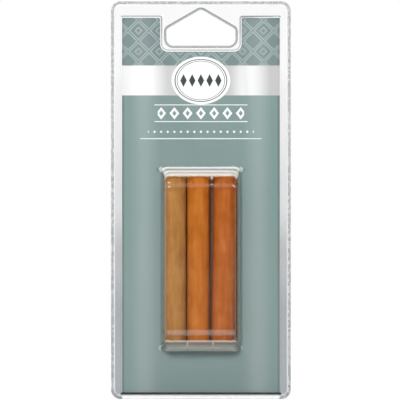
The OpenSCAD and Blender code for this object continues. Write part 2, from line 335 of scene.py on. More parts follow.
# The back and the cut edges are bare board, with grey fibres
fibres = add(tree, "TexNoise", {"Vector": place, "Scale": 900.0, "Detail": 4.0, "Roughness": 0.7})
board = add(tree, "ValToRGB", {0: fibres}, [(0.35, linear("#d9d6cf")), (0.65, linear("#efede8"))])
turned = add(tree, "SeparateXYZ", {0: add(tree, "NewGeometry").outputs["True Normal"]}).outputs["Y"]
front = add(tree, "Math", {0: turned, 1: -0.5}, operation="LESS_THAN")
colour = add(tree, "Mix", {0: front, 6: board, 7: printed}, data_type="RGBA").outputs[2]
coating = add(tree, "MapRange", {"Value": fibres, "To Min": 0.34, "To Max": 0.5})
grain = add(tree, "Bump", {"Height": fibres, "Strength": 0.12, "Distance": 0.02 * MM})
paper = add(tree, "BsdfPrincipled", {"Base Color": colour, "Roughness": coating, "Normal": grain, "IOR": 1.5})
add(tree, "OutputMaterial", {0: paper})


def pick(kind, test):
    """Selects the vertices, edges or faces of the mesh in edit mode that pass a test, and nothing else."""
    bpy.ops.mesh.select_all(action="DESELECT")
    bpy.ops.mesh.select_mode(type=kind)
    shape = bmesh.from_edit_mesh(bpy.context.object.data)
    for part in {"VERT": shape.verts, "EDGE": shape.edges, "FACE": shape.faces}[kind]:
        if test(part):
            part.select_set(True)
    bmesh.update_edit_mesh(bpy.context.object.data)


def is_near(a, b):
    """True if two lengths are the same to a hundredth of a millimetre."""
    return abs(a - b) < 0.01 * MM


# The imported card's own shape, with its back set off the back sheet and its cut edges rounded
MERGE_GAP, CARD_BACK, CARD_GAP, CARD_EDGE_R = 0.001 * MM, -0.1 * MM, 0.02 * MM, 0.06 * MM
FLAT_ANGLE, SHARP_ANGLE = radians(0.5), radians(50)
cut_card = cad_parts["printed_card"].copy()
cut_card.data = cut_card.data.copy()
cut_card.name = cut_card.data.name = "cut_card"
bpy.context.collection.objects.link(cut_card)
bpy.ops.object.select_all(action="DESELECT")
cut_card.select_set(True)
bpy.context.view_layer.objects.active = cut_card
bpy.ops.object.mode_set(mode="EDIT")
bpy.ops.mesh.select_all(action="SELECT")
bpy.ops.mesh.remove_doubles(threshold=MERGE_GAP)
bpy.ops.mesh.dissolve_limited(angle_limit=FLAT_ANGLE)
pick("VERT", lambda v: v.co.y > CARD_BACK)
bpy.ops.transform.translate(value=(0, -CARD_GAP, 0))
pick("EDGE", lambda e: e.calc_face_angle(0) > SHARP_ANGLE and is_near(e.verts[0].co.y, e.verts[1].co.y))
bpy.ops.mesh.bevel(offset=CARD_EDGE_R, segments=2, affect="EDGES")
bpy.ops.object.mode_set(mode="OBJECT")
bpy.ops.object.shade_smooth_by_angle(angle=SHARP_ANGLE)
cut_card.data.materials.clear()
cut_card.data.materials.append(coated_board)
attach(cut_card, "pack")
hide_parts("printed_card")


# Wax sticks
# Hard filler wax, a blend of waxes with pigment, poured into round moulds and left bare. The surface is satin, faintly
# wavy and scuffed by its neighbours, and the upper end has sunk a little as it cooled.
STICK_R, STICK_L, STICK_EDGE_R = 5.9 * MM, 88.5 * MM, 0.8 * MM
END_RING_W = 1.3 * MM
# How far from the side each step of the sunk end begins, and how deep it goes
SUNK_STEPS = ((2.0 * MM, 0.25 * MM), (3.0 * MM, 0.3 * MM))
# The side's slow wave and its finer ripple: length along the stick, share of the radius, how much finer it is round
# the stick, and how far the seed moves it
WAVES = ((14 * MM, 0.009, 1, 100), (5 * MM, 0.003, 3, 300))
# Each stick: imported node, body, slot, lean in degrees, seed, and its deep, middle and pale colours
STICKS = (
    ("wax_stick_tan", "tan_stick", "tan_wax", 0.0, 0.11, ("#996632", "#ad793e", "#ba874f")),
    ("wax_stick_amber", "amber_stick", "amber_wax", 0.0, 0.37, ("#a75b13", "#bb6b1e", "#c57a33")),
    ("wax_stick_russet", "russet_stick", "russet_wax", 0.75, 0.59, ("#a05118", "#b15f22", "#bf7139")),
)


def is_stick_rim(edge):
    """True for the edge between a stick's round side and one of its ends."""
    return all(is_near(abs(v.co.z), STICK_L / 2) and is_near(v.co.xy.length, STICK_R) for v in edge.verts)


bpy.ops.mesh.primitive_cylinder_add(vertices=72, radius=STICK_R, depth=STICK_L)
plain_stick = bpy.context.object
bpy.ops.object.mode_set(mode="EDIT")
pick("EDGE", lambda e: not is_near(e.verts[0].co.z, e.verts[1].co.z))
bpy.ops.mesh.subdivide(number_cuts=47)
pick("FACE", lambda f: abs(f.normal.z) > 0.9)
for _ in range(3):
    bpy.ops.mesh.inset(thickness=END_RING_W)
bpy.ops.mesh.poke()
for inset, fall in SUNK_STEPS:
    pick("VERT", lambda v: v.co.z > STICK_L / 2 - 1.0 * MM and v.co.xy.length < STICK_R - inset)
    bpy.ops.transform.translate(value=(0, 0, -fall))
pick("EDGE", is_stick_rim)
bpy.ops.mesh.bevel(offset=STICK_EDGE_R, segments=5, affect="EDGES")
bpy.ops.object.mode_set(mode="OBJECT")


def filler_wax(name, deep, base, pale, seed):
    """Pigmented filler wax: cloudy colour drawn out along the stick, satin, with pale scuffs and small dark specks."""
    material, tree = new_material(name)
    place = add(tree, "TexCoord").outputs["Object"]
    shift = add(tree, "Mapping", {0: place, "Location": (seed, 0, 0)})
    drawn = add(tree, "Mapping", {0: place, "Location": (seed, 0, 0), "Scale": (1, 1, 0.14)})
    clouds = add(tree, "TexNoise", {"Vector": shift, "Scale": 90.0, "Detail": 3.0, "Roughness": 0.6})
    streaks = add(tree, "TexNoise", {"Vector": drawn, "Scale": 420.0, "Detail": 3.0, "Roughness": 0.6})
    mixed = add(tree, "Math", {0: clouds, 1: streaks}, operation="ADD")
    mixed = add(tree, "Math", {0: mixed, 1: 0.5}, operation="MULTIPLY")
    colour = add(tree, "ValToRGB", {0: mixed}, [(0.36, linear(deep)), (0.5, linear(base)), (0.66, linear(pale))])
    pale_marks = add(tree, "TexNoise", {"Vector": drawn, "Scale": 1500.0, "Detail": 2.0, "Roughness": 0.5})
    patches = add(tree, "TexNoise", {"Vector": shift, "Scale": 160.0, "Detail": 1.0})
    scuffs = add(tree, "Math", {0: pale_marks, 1: patches}, operation="MULTIPLY")
    scuffs = add(tree, "MapRange", {"Value": scuffs, "From Min": 0.34, "From Max": 0.42, "To Max": 0.35})
    colour = add(tree, "Mix", {0: scuffs, 6: colour, 7: linear(pale)}, data_type="RGBA").outputs[2]
    specks = add(tree, "TexVoronoi", {"Vector": shift, "Scale": 420.0}).outputs["Distance"]
    specks = add(tree, "MapRange", {"Value": specks, "From Min": 0.1, "From Max": 0.16, "To Min": 0.4, "To Max": 0})
    colour = add(tree, "Mix", {0: specks, 6: colour, 7: linear(deep)}, data_type="RGBA").outputs[2]
    satin = add(tree, "MapRange", {"Value": streaks, "To Min": 0.36, "To Max": 0.56})
    height = add(tree, "Math", {0: streaks, 1: pale_marks}, operation="ADD")
    relief = add(tree, "Bump", {"Height": height, "Strength": 0.25, "Distance": 0.05 * MM})
    wax = add(
        tree,
        "BsdfPrincipled",
        {
            "Base Color": colour,
            "Roughness": satin,
            "Normal": relief,
            "IOR": 1.44,
            "Specular IOR Level": 0.3,
            "Subsurface Weight": 0.12,
            "Subsurface Radius": (1.0, 0.5, 0.25),
            "Subsurface Scale": 1.5 * MM,
        },
    )
    add(tree, "OutputMaterial", {0: wax})
    return material


for node, body, slot_name, lean, seed, hues in STICKS:
    bpy.ops.object.select_all(action="DESELECT")
    plain_stick.select_set(True)
    bpy.context.view_layer.objects.active = plain_stick
    bpy.ops.object.duplicate()
    stick = bpy.context.object
    stick.name = stick.data.name = node.replace("wax_stick", "poured_stick")
    for v in stick.data.vertices:
        swell = 1
        for wave_l, share, finer, shift in WAVES:
            around = (v.co.x / STICK_R * finer, v.co.y / STICK_R * finer, v.co.z / wave_l + shift * seed)
            swell += share * noise.noise(around)
        v.co.xy *= swell
    low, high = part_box(node)
    stick.rotation_euler = (0, radians(lean), 0)
    stick.location = (low + high) / 2
    bpy.ops.object.transform_apply(location=True, rotation=True, scale=False)
    bpy.ops.object.shade_smooth()
    stick.data.materials.append(filler_wax(f"Filler_wax_{slot_name.split('_')[0]}", *hues, seed))
    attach(stick, body)
    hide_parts(node)
bpy.data.objects.remove(plain_stick)


# Formed front sheet
# Clear PET sheet 0.4 mm thick, vacuum formed over a block that draws the card pocket and the deep bubble, then sealed
# to the back sheet round the edge and round the hang hole. Drawn flat here, front upwards, and stood up at the end.
SHEET_T = 0.4 * MM
# How high the front of each level lies over the back sheet, then the widths of the seals and of the slopes off them
SEAL_H, LAND_H, POCKET_H, BUBBLE_H = 0.4 * MM, 0.65 * MM, 1.3 * MM, 16.3 * MM
SEAL_W, SLOPE_W, RING_W, RING_SLOPE_W = 1.65 * MM, 0.45 * MM, 1.1 * MM, 0.25 * MM
PACK_HALF_W, PACK_FOOT, PACK_TOP, PACK_R = 47.5 * MM, -205.5 * MM, 4.5 * MM, 5.0 * MM
POCKET_HALF_W, POCKET_FOOT, POCKET_TOP, POCKET_R = 42.55 * MM, -203.15 * MM, -3.3 * MM, 1.2 * MM
NOTCH_HALF_W, NOTCH_FOOT, NOTCH_R = 20.6 * MM, -21.2 * MM, 3.1 * MM
HOLE_HALF_W, HOLE_FOOT, HOLE_PEAK, HOLE_ROOF = 18.2 * MM, -18.9 * MM, 0.387 * MM, radians(30)
HOLE_FOOT_R, HOLE_SHOULDER_R, HOLE_PEAK_R = 3.6 * MM, 2.0 * MM, 2.5 * MM
BUBBLE_HALF_W, BUBBLE_FOOT, BUBBLE_TOP = 21.3 * MM, -180.2 * MM, -82.7 * MM
SIDE_DRAFT, END_DRAFT = radians(10), radians(15)
SIDE_FILLET, END_FILLET, BASE_FILLET = 2.5 * MM, 6.0 * MM, 1.2 * MM
CORNER_R_TOP, CORNER_R_FOOT, CORNER_R_FRONT = 3.0 * MM, 3.4 * MM, 3.5 * MM
KNURL_H = 0.14 * MM
# The ears' width and depth. Their curve, a cosine cubed times a sine, is EAR_PEAK times too low
EAR_W, EAR_DEPTH, EAR_PEAK = 1.1 * MM, 1.6 * MM, 3.08
POCKET_EDGE_R, LAND_EDGE_R, EDGE_R, SLIVER_W = 0.35 * MM, 0.2 * MM, 0.1 * MM, 0.0005 * MM
RIGHT_ANGLE = pi / 2


def flat_plate(half_w, low, high, height):
    """Adds a rectangle to the mesh in edit mode."""
    bpy.ops.mesh.select_all(action="DESELECT")
    bpy.ops.mesh.primitive_plane_add(size=1, location=(0, (low + high) / 2, height))
    bpy.ops.transform.resize(value=(2 * half_w, high - low, 1), center_override=(0, (low + high) / 2, height))


def round_corners(height, corners):
    """Rounds the corners of the outline at a height, left and right alike: x, y, radius and the angle each turns."""
    for x, y, radius, turn in corners:
        pick("VERT", lambda v: is_near(v.co.z, height) and is_near(v.co.y, y) and is_near(abs(v.co.x), x))
        bpy.ops.mesh.bevel(offset=radius * tan(turn / 2), segments=8, affect="VERTICES", clamp_overlap=False)


def lies_at(height):
    """Gives a test for the faces or edges that lie level at a height."""
    return lambda part: all(is_near(v.co.z, height) for v in part.verts)


def clear_level(height):
    """Takes the level faces at a height away and leaves their outlines."""
    pick("FACE", lies_at(height))
    bpy.ops.mesh.delete(type="ONLY_FACE")


def wall_inset(depth, high, draft, front_r, base_r):
    """How far a drawn wall has come in at a depth: hollow fillet at its foot, straight draft, round at its front."""
    if depth < base_r * (1 - sin(draft)):
        across = (1 - (1 - depth / base_r) ** 2) ** 0.5
        return base_r * (across - tan(pi / 4 - draft / 2))
    left = high - depth
    if left < front_r * (1 - sin(draft)):
        flat = front_r * cos(draft) + (high - front_r * (1 - sin(draft))) * tan(draft)
        return flat - front_r * (max(0.0, 1 - (1 - left / front_r) ** 2)) ** 0.5
    return depth * tan(draft)


# Clear and drawn thin: it mirrors the backdrop, and is hazy white where it was stretched most. The bubble's upper end
# is hazy in bands and its lower end all over, in grey painted shade. Its front has two thin white bands and its
# corners white ears, slanted lines and short strokes, all painted highlights; its sides have the wax's painted light
# by painted shade.
# Shares of haze along the bubble's height, and by depth on its upper end
FRONT_HIGHLIGHTS = (
    (0.0, 0.0), (0.099, 0.0), (0.105, 0.12), (0.127, 0.12), (0.133, 0.0), (0.885, 0.0), (0.89, 0.06), (0.905, 0.06),
    (0.91, 0.0),
)
TOP_HAZE = (
    (0.05, 0.0), (0.08, 0.95), (0.28, 0.9), (0.34, 0.0), (0.42, 0.0), (0.48, 0.25), (0.55, 0.3), (0.6, 0.75),
    (0.7, 0.75), (0.76, 0.35), (0.83, 0.22), (0.855, 0.4), (0.872, 0.5), (0.885, 0.8), (0.898, 0.8), (0.904, 0.0),
)
# Shares of haze by how far the lower end faces down, and its colours, painted light and shade: a white line where it
# leaves the front, grey shade below it, and lighter again towards the base
FOOT_HAZE = ((0.24, 0.0), (0.27, 0.6), (0.34, 0.6), (0.38, 0.5), (0.42, 0.62), (0.85, 0.62), (0.95, 0.9))
FOOT_PAINTED_LIGHT_AND_SHADE = (
    (0.34, "#f4f6f4"), (0.41, "#a8aeac"), (0.5, "#a0a7a5"), (0.62, "#b4bdbb"), (0.72, "#c9d2d0"), (0.85, "#dfe8e5"),
    (0.95, "#fafffd"),
)
# Shares of haze by how far a side faces outwards, and the middle and half width of the line of painted shade on it
LEFT_HAZE = ((0.6, 0.0), (0.72, 0.35), (0.9, 0.4), (0.93, 0.0), (0.945, 0.55), (0.972, 0.55), (0.984, 0.0))
RIGHT_HAZE = ((0.4, 0.0), (0.52, 0.36), (0.71, 0.36), (0.75, 0.0), (0.78, 0.9), (0.9, 0.9), (0.935, 0.2))
LEFT_SHADE_LINE, RIGHT_SHADE_LINE = (0.96, 0.03), (0.84, 0.085)
# Painted glints, short white strokes of haze: place across and up in mm, slant, half length and half width in mm, and
# share of haze
PAINTED_GLINTS = (
    (-16.5, -91.4, 0.3, 0.95, 0.32, 0.9), (-16.4, -93.5, -0.4, 0.95, 0.32, 0.9), (16.9, -93.1, 0.5, 0.95, 0.32, 0.9),
    (18.0, -93.6, -0.5, 0.95, 0.32, 0.9), (5.62, -88.4, 0.0, 0.8, 1.8, 0.35), (5.62, -92.35, 0.0, 0.9, 0.32, 0.5),
)
# Painted light lines on the lower end, where light comes down between the sticks: their places, half width and colour
STICK_GAPS, GAP_HALF_W, GAP_PAINTED_LIGHT = (-6.97 * MM, 6.28 * MM), 0.4 * MM, "#e6f0ec"
# Whites of the upper end's bands and of its last band, painted light of the wax on the left and on the right, and the
# painted shade of the sides' dark line
TOP_WHITES, WAX_LIGHTS, SIDE_PAINTED_SHADE = ("#f4f6f5", "#fff2e8"), ("#f2d3b8", "#dc9a68"), "#2e241a"
# Shares of the bubble's depth where its ears, its walls, its forward half and the last band of its upper end begin
EAR_FROM, WALL_FROM, FORWARD_FROM, LAST_BAND_FROM = 0.008, 0.03, 0.5, 0.87
# Ears, whose white haze is a painted highlight: how far inside the bubble's edge and how far off its mid height they
# begin, and their share of haze
EAR_IN, EAR_OFF_MIDDLE, EAR_HIGHLIGHT_SHARE = 0.8 * MM, 0.468, 0.65
# How far the sheet faces up or down on an end, up and sideways round a corner and at most on a side, and how far it
# faces sideways where the light of the wax shows
END_TILT, CORNER_TILT, CORNER_SHARE, UPRIGHT_TILT, GLOW_FROM = (0.5, 0.58), (0.36, 0.5), 0.5, 0.3, 0.4

# Over the foot of the card its tints turn near black: the see-through colour there is painted shadow of the gap under
# the card's foot
formed_pet, tree, place, sheet = clear_pet(
    "PET_vacuum_formed",
    [(0.0108, "#fdfdfd"), (0.0114, "#0c1211"), (0.0147, "#0c1211"), (0.0153, "#ffffff")],
    "#c4cac8",
    0.13,
    (0, 42.4 * MM),
)
across, deep, up = add(tree, "SeparateXYZ", {0: place}).outputs
turned = add(tree, "VectorMath", {0: add(tree, "NewGeometry").outputs["Normal"]}, operation="ABSOLUTE")
sideways, _, tilt = add(tree, "SeparateXYZ", {0: turned}).outputs
depth = add(tree, "MapRange", {"Value": deep, "From Min": -POCKET_H, "From Max": -BUBBLE_H})
height = add(tree, "MapRange", {"Value": up, "From Min": BUBBLE_FOOT, "From Max": BUBBLE_TOP})
on_right = add(tree, "Math", {0: across, 1: 0.0}, operation="GREATER_THAN")
raised, on_wall, forward, last_band = (
    add(tree, "Math", {0: depth, 1: least}, operation="GREATER_THAN")
    for least in (EAR_FROM, WALL_FROM, FORWARD_FROM, LAST_BAND_FROM)
)
upper_half = add(tree, "Math", {0: height, 1: 0.5}, operation="GREATER_THAN")
lower_half = add(tree, "Math", {0: on_wall, 1: upper_half}, operation="SUBTRACT", use_clamp=True)
front_highlights, top_haze, foot_haze, left_haze, right_haze = (
    add(tree, "ValToRGB", {0: along}, [(at, (share, share, share, 1)) for at, share in stops]).outputs[0]
    for along, stops in (
        (height, FRONT_HIGHLIGHTS), (depth, TOP_HAZE), (tilt, FOOT_HAZE), (sideways, LEFT_HAZE), (sideways, RIGHT_HAZE),
    )
)

# Haze: each kind has its share, and the part of the bubble where it lies. On the front, at the ears, round the upper
# corners and in short strokes the haze is painted highlight
upper_end = add(tree, "MapRange", {"Value": tilt, "From Min": END_TILT[0], "From Max": END_TILT[1]})
upper_end = add(tree, "Math", {0: upper_end, 1: top_haze}, operation="MULTIPLY")
# Round the upper corners the haze runs in slanted white lines, a painted highlight
corner = add(tree, "Math", {0: sideways, 1: tilt}, operation="MINIMUM")
corner = add(
    tree,
    "MapRange",
    {"Value": corner, "From Min": CORNER_TILT[0], "From Max": CORNER_TILT[1], "To Max": CORNER_SHARE},
)
side_haze = add(tree, "Mix", {0: on_right, 6: left_haze, 7: right_haze}, data_type="RGBA").outputs[2]
# Ears: white haze beside the bubble's base corners, a painted highlight
out_x = add(tree, "Math", {0: across}, operation="ABSOLUTE")
ear = add(tree, "Math", {0: out_x, 1: BUBBLE_HALF_W - EAR_IN}, operation="GREATER_THAN")
off_middle = add(tree, "Math", {0: height, 1: 0.5}, operation="SUBTRACT")
off_middle = add(tree, "Math", {0: off_middle}, operation="ABSOLUTE")
at_end = add(tree, "Math", {0: off_middle, 1: EAR_OFF_MIDDLE}, operation="GREATER_THAN")
ear = add(tree, "Math", {0: ear, 1: at_end}, operation="MULTIPLY")
ear = add(tree, "Math", {0: ear, 1: EAR_HIGHLIGHT_SHARE}, operation="MULTIPLY")
hazes = [
    (upper_end, upper_half), (corner, upper_half), (foot_haze, lower_half), (front_highlights, on_wall),
    (side_haze, forward), (ear, raised),
]
# Painted glints: short white strokes of haze at the bubble's front corners and over the top of the gap between two
# sticks
for mark_x, mark_z, slant, half_length, half_w, share in PAINTED_GLINTS:
    stroke = add(
        tree,
        "Mapping",
        {
            0: place,
            "Location": (mark_x * MM, 0, mark_z * MM),
            "Rotation": (0, slant, 0),
            "Scale": (half_length * MM, 1, half_w * MM),
        },
        vector_type="TEXTURE",
    )
    stroke = add(tree, "VectorMath", {0: stroke}, operation="LENGTH").outputs["Value"]
    stroke = add(tree, "MapRange", {"Value": stroke, "From Min": 1.0, "From Max": 0.6, "To Max": share})
    hazes.append((stroke, forward))
haze = 0.0
for share, where in hazes:
    share = add(tree, "Math", {0: share, 1: where}, operation="MULTIPLY")
    haze = add(tree, "Math", {0: haze, 1: share}, operation="MAXIMUM")

# Its colour, painted light and shade: greyer over the foot, with painted light at the gaps between the sticks, the
# painted light of the wax along the sides and a line of painted shade on each side
frost_colour_and_painted_light = add(tree, "ValToRGB", {0: tilt}, [(at, linear(hue)) for at, hue in FOOT_PAINTED_LIGHT_AND_SHADE])
for gap in STICK_GAPS:
    beside = add(tree, "Math", {0: across, 1: gap, 2: GAP_HALF_W}, operation="COMPARE")
    frost_colour_and_painted_light = add(tree, "Mix", {0: beside, 6: frost_colour_and_painted_light, 7: linear(GAP_PAINTED_LIGHT)}, data_type="RGBA").outputs[2]
top_white, wax_light = (
    add(tree, "Mix", {0: where, 6: linear(elsewhere), 7: linear(there)}, data_type="RGBA").outputs[2]
    for where, (elsewhere, there) in ((last_band, TOP_WHITES), (on_right, WAX_LIGHTS))
)
upright = add(tree, "Math", {0: tilt, 1: UPRIGHT_TILT}, operation="LESS_THAN")
upright = add(tree, "Math", {0: upright, 1: forward}, operation="MULTIPLY")
glow = add(tree, "Math", {0: sideways, 1: GLOW_FROM}, operation="GREATER_THAN")
glow = add(tree, "Math", {0: glow, 1: upright}, operation="MULTIPLY")
side_shade_at, side_shade_half_w = (
    add(tree, "MapRange", {"Value": on_right, "To Min": left, "To Max": right})
    for left, right in zip(LEFT_SHADE_LINE, RIGHT_SHADE_LINE)
)
side_shade = add(tree, "Math", {0: sideways, 1: side_shade_at, 2: side_shade_half_w}, operation="COMPARE")
side_shade = add(tree, "Math", {0: side_shade, 1: upright}, operation="MULTIPLY")
for mask, colour in ((upper_half, top_white), (glow, wax_light), (side_shade, linear(SIDE_PAINTED_SHADE))):
    frost_colour_and_painted_light = add(tree, "Mix", {0: mask, 6: frost_colour_and_painted_light, 7: colour}, data_type="RGBA").outputs[2]
lit = add(tree, "BsdfDiffuse", {"Color": frost_colour_and_painted_light})
shone_through = add(tree, "BsdfTranslucent", {"Color": frost_colour_and_painted_light})
frost = add(tree, "MixShader", {0: 0.5, 1: lit, 2: shone_through})
add(tree, "OutputMaterial", {0: add(tree, "MixShader", {0: haze, 1: sheet, 2: frost})})

# Steps and softened edges: seen edge on, so they look grey, and all but black over the foot of the card, a painted
# shadow of the gap under the card's foot
step_pet, tree, _, sheet = clear_pet(
    "PET_formed_step",
    [
        (0.0112, "#f4f6f6"), (0.0117, "#0c1211"), (0.0134, "#0c1211"), (0.016, "#c4c9c8"), (0.94, "#c4c9c8"),
        (0.98, "#a9afae"),
    ],
    "#a4aaa8",
    0.1,
    (0, 42.0 * MM),
)
add(tree, "OutputMaterial", {0: sheet})

# Two sheets welded along the seal: the knurled tool leaves it grey with small pyramids. Their peaks are painted white
# from part of the way up and fully from twice as high, broken up by noise: a painted highlight for the glints of their
# facets
PEAK_FROM, PEAK_FULL = -SEAL_H - 0.35 * KNURL_H, -SEAL_H - 0.7 * KNURL_H
sealed_pet, tree, place, sheet = clear_pet(
    "PET_heat_sealed",
    [(0, "#cdd0d2"), (0.35, "#d4d6d7"), (0.7, "#dcdddd")],
    "#b9bfbd",
    0.16,
    (41.5 * MM, 60 * MM),
    [(0.004, "#ffffff"), (0.01, "#ffffff"), (0.022, "#d2d4d6"), (0.7, "#dcdddd")],
)
deep = add(tree, "SeparateXYZ", {0: place}).outputs["Y"]
peaks = add(tree, "MapRange", {"Value": deep, "From Min": PEAK_FROM, "From Max": PEAK_FULL})
glint_breakup = add(tree, "TexNoise", {"Vector": place, "Scale": 480.0, "Detail": 2.0})
glint_breakup = add(tree, "MapRange", {"Value": glint_breakup, "From Min": 0.42, "From Max": 0.58, "To Min": 0.15, "To Max": 1.0})
peak_share = add(tree, "Math", {0: peaks, 1: glint_breakup}, operation="MULTIPLY")
pale_marks = add(tree, "BsdfDiffuse", {"Color": linear("#f6f7f7")})
add(tree, "OutputMaterial", {0: add(tree, "MixShader", {0: peak_share, 1: sheet, 2: pale_marks})})

# Folded up beside the seal, and cut along the outline and the hang hole: it is white there, a painted highlight on the
# slopes and the white of the cut on the edges
cut_and_slope_pet, tree, _, sheet = clear_pet("PET_cut_white_and_slope_highlight", [(0, "#fafafa"), (1, "#ffffff")], "#c4cac8", 0.2)
cut_white_and_slope_highlight = add(tree, "BsdfDiffuse", {"Color": linear("#f4f6f6")})
add(tree, "OutputMaterial", {0: add(tree, "MixShader", {0: 0.45, 1: sheet, 2: cut_white_and_slope_highlight})})


def is_across(edge):
    """True for an edge that crosses the border from its outline to its inside."""
    return sum(v.is_boundary for v in edge.verts) == 1


# An empty mesh, in which every outline is drawn
bpy.ops.mesh.primitive_plane_add(size=1, location=(0, 0, 0))
shell = bpy.context.object
shell.name = shell.data.name = "formed_front_sheet"
for finish in (formed_pet, step_pet, sealed_pet, cut_and_slope_pet):
    shell.data.materials.append(finish)


def paint(finish):
    """Gives the selected faces one of the sheet's materials."""
    shell.active_material_index = shell.data.materials.find(finish.name)
    bpy.ops.object.material_slot_assign()


bpy.ops.object.mode_set(mode="EDIT")
bpy.ops.mesh.delete(type="VERT")

# Sealed border, and the land that stands a quarter of a millimetre off it
flat_plate(PACK_HALF_W, PACK_FOOT, PACK_TOP, SEAL_H)
round_corners(SEAL_H, [(PACK_HALF_W, y, PACK_R, RIGHT_ANGLE) for y in (PACK_FOOT, PACK_TOP)])
pick("FACE", lies_at(SEAL_H))
bpy.ops.mesh.inset(thickness=SEAL_W)
bpy.ops.mesh.inset(thickness=SLOPE_W, depth=LAND_H - SEAL_H)
bpy.ops.mesh.delete(type="ONLY_FACE")
# The slopes up to the land are white: a painted highlight
pick("FACE", lambda f: not lies_at(SEAL_H)(f))
paint(cut_and_slope_pet)

# The border is knurled: two rows of low pyramids, about a millimetre apart. Its long edges are cut first, then its
# short ones, then whatever is still over a millimetre and a half
for least, cuts in ((150 * MM, 97), (50 * MM, 80), (1.5 * MM, 1)):
    pick("EDGE", lambda e: e.calc_length() > least and not is_across(e))
    bpy.ops.mesh.subdivide(number_cuts=cuts)
pick("EDGE", lambda e: is_across(e) and lies_at(SEAL_H)(e))
bpy.ops.mesh.subdivide(number_cuts=1)
pick("FACE", lies_at(SEAL_H))
bpy.ops.mesh.poke(offset=KNURL_H)
paint(sealed_pet)


def is_in_hole(face):
    """True for a face of the sealed ring or its slope, inside the foot of the land."""
    middle = face.calc_center_median()
    return abs(middle.x) < HOLE_HALF_W + RING_W and HOLE_FOOT - RING_W < middle.y < HOLE_PEAK + 2 * RING_W


# Hang hole: the land steps down to a narrow sealed ring, which is cut through along its inside
peak = HOLE_PEAK + RING_W / cos(HOLE_ROOF)
shoulder = peak - (HOLE_HALF_W + RING_W) * tan(HOLE_ROOF)
flat_plate(HOLE_HALF_W + RING_W, HOLE_FOOT - RING_W, shoulder, LAND_H)
pick(
    "EDGE",
    lambda e: all(is_near(v.co.z, LAND_H) and is_near(v.co.y, shoulder) for v in e.verts)
    and abs(e.verts[0].co.x - e.verts[1].co.x) > HOLE_HALF_W,
)
bpy.ops.mesh.subdivide(number_cuts=1)
pick("VERT", lambda v: is_near(v.co.x, 0) and is_near(v.co.y, shoulder))
bpy.ops.transform.translate(value=(0, peak - shoulder, 0))
round_corners(
    LAND_H,
    [
        (HOLE_HALF_W + RING_W, HOLE_FOOT - RING_W, HOLE_FOOT_R + RING_W, RIGHT_ANGLE),
        (HOLE_HALF_W + RING_W, shoulder, HOLE_SHOULDER_R + RING_W, RIGHT_ANGLE - HOLE_ROOF),
        (0, peak, HOLE_PEAK_R + RING_W, 2 * HOLE_ROOF),
    ],
)
pick("FACE", lies_at(LAND_H))
bpy.ops.mesh.inset(thickness=RING_SLOPE_W, depth=SEAL_H - LAND_H)
bpy.ops.mesh.inset(thickness=RING_W - RING_SLOPE_W)
bpy.ops.mesh.delete(type="ONLY_FACE")
pick("FACE", lambda f: is_in_hole(f) and lies_at(SEAL_H)(f))
paint(sealed_pet)
pick("FACE", lambda f: is_in_hole(f) and not lies_at(SEAL_H)(f) and not lies_at(LAND_H)(f))
paint(step_pet)
clear_level(LAND_H)

# Card pocket: an outline with a notch for the hang hole, standing off the land
flat_plate(POCKET_HALF_W, POCKET_FOOT, POCKET_TOP, LAND_H)
for plane, normal in (
    ((-NOTCH_HALF_W, 0, 0), (1, 0, 0)),
    ((NOTCH_HALF_W, 0, 0), (1, 0, 0)),
    ((0, NOTCH_FOOT, 0), (0, 1, 0)),
):
    pick("FACE", lies_at(LAND_H))
    bpy.ops.mesh.bisect(plane_co=plane, plane_no=normal)


def is_notch(face):
    """True for the level face that the notch takes out of the pocket."""
    middle = face.calc_center_median()
    return lies_at(LAND_H)(face) and abs(middle.x) < NOTCH_HALF_W and middle.y > NOTCH_FOOT


def is_straight(v):
    """True for a vertex in the middle of a straight edge of the pocket."""
    if not is_near(v.co.z, LAND_H) or len(v.link_edges) != 2:
        return False
    one, other = (edge.other_vert(v).co - v.co for edge in v.link_edges)
    return abs(one.cross(other).z) < 1e-12


pick("FACE", is_notch)
bpy.ops.mesh.delete(type="FACE")
pick("FACE", lies_at(LAND_H))
bpy.ops.mesh.dissolve_faces()
pick("VERT", is_straight)
bpy.ops.mesh.dissolve_verts()
round_corners(
    LAND_H,
    [
        (POCKET_HALF_W, POCKET_FOOT, POCKET_R, RIGHT_ANGLE),
        (POCKET_HALF_W, POCKET_TOP, POCKET_R, RIGHT_ANGLE),
        (NOTCH_HALF_W, POCKET_TOP, POCKET_R, RIGHT_ANGLE),
        (NOTCH_HALF_W, NOTCH_FOOT, NOTCH_R, RIGHT_ANGLE),
    ],
)
pick("FACE", lies_at(LAND_H))
bpy.ops.mesh.extrude_region_move(TRANSFORM_OT_translate={"value": (0, 0, POCKET_H - LAND_H)})
bpy.ops.mesh.delete(type="ONLY_FACE")
clear_level(LAND_H)

# The land between the border, the pocket and the ring
pick("EDGE", lambda e: e.is_boundary and lies_at(LAND_H)(e))
bpy.ops.mesh.fill(use_beauty=True)

# Bubble: its base outline, the pocket's front round it, then the drawn wall ring by ring
FLAT_W, FLAT_EXTRA_R = 3 * MM, 2 * MM
BASE_STEPS, END_STEPS, SIDE_STEPS = 6, 14, 8
FRONT_INSET = 0.6 * MM
flat_plate(BUBBLE_HALF_W, BUBBLE_FOOT, BUBBLE_TOP, POCKET_H)
round_corners(
    POCKET_H,
    [
        (BUBBLE_HALF_W, BUBBLE_FOOT, CORNER_R_FOOT, RIGHT_ANGLE),
        (BUBBLE_HALF_W, BUBBLE_TOP, CORNER_R_TOP, RIGHT_ANGLE),
    ],
)
clear_level(POCKET_H)
high = BUBBLE_H - POCKET_H
half_h, middle = (BUBBLE_TOP - BUBBLE_FOOT) / 2, (BUBBLE_TOP + BUBBLE_FOOT) / 2


